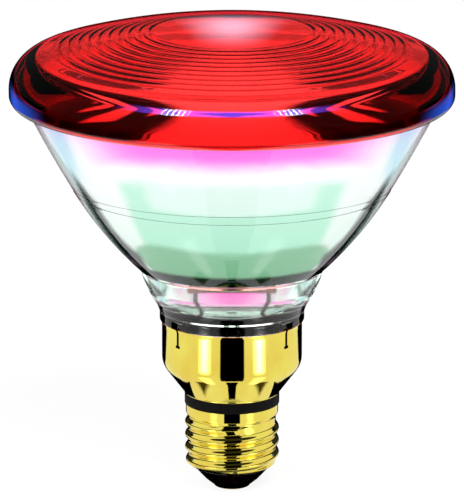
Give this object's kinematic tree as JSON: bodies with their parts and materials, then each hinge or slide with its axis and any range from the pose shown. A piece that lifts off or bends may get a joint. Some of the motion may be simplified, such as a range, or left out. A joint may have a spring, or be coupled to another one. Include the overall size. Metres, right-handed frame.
{
  "type": "infrared heat lamp bulb",
  "caption": "Reflector heat lamp bulb with a red ribbed glass lens, a silvered clear glass bowl and a skirted brass screw base.",
  "frame": {"origin": "middle of the centre contact's underside, at the lowest point of the lamp", "axes": "+Z along the lamp's axis, from the base to the lens; -Y is the front"},
  "size_m": [0.1224, 0.1224, 0.1319],
  "materials": {
    "red_glass": "pressed ruby glass, fire polished, ribbed on the inner face",
    "clear_glass": "pressed borosilicate glass with an evaporated aluminium mirror on its inner face",
    "tube_glass": "drawn glass tube",
    "base_brass": "bright drawn sheet",
    "black_glass": "poured black glass, glossy",
    "solder": "dull tin solder",
    "nickel_iron": "satin nickel-iron",
    "braze_metal": "dull braze",
    "tungsten": "dark grey coiled wire",
    "steatite": "unglazed pressed ceramic",
    "glass_sleeving": "braided glass yarn"
  },
  "bodies": {
    "root": {"front_lens": "red_glass", "reflector": "clear_glass", "exhaust_tube": "tube_glass", "filament": "tungsten", "support_bridge": "steatite", "base_skirt": "base_brass", "screw_shell": "base_brass", "base_insulator": "black_glass", "centre_contact": "base_brass", "contact_solder": "solder", "centre_lead": "nickel_iron", "side_lead": "nickel_iron", "insulating_sleeve": "glass_sleeving", "ferrule_left": "nickel_iron", "ferrule_right": "nickel_iron", "braze_left": "braze_metal", "braze_right": "braze_metal", "lead_post_left": "nickel_iron", "lead_post_right": "nickel_iron", "filament_support_left": "nickel_iron", "filament_support_right": "nickel_iron"}
  },
  "joints": []
}
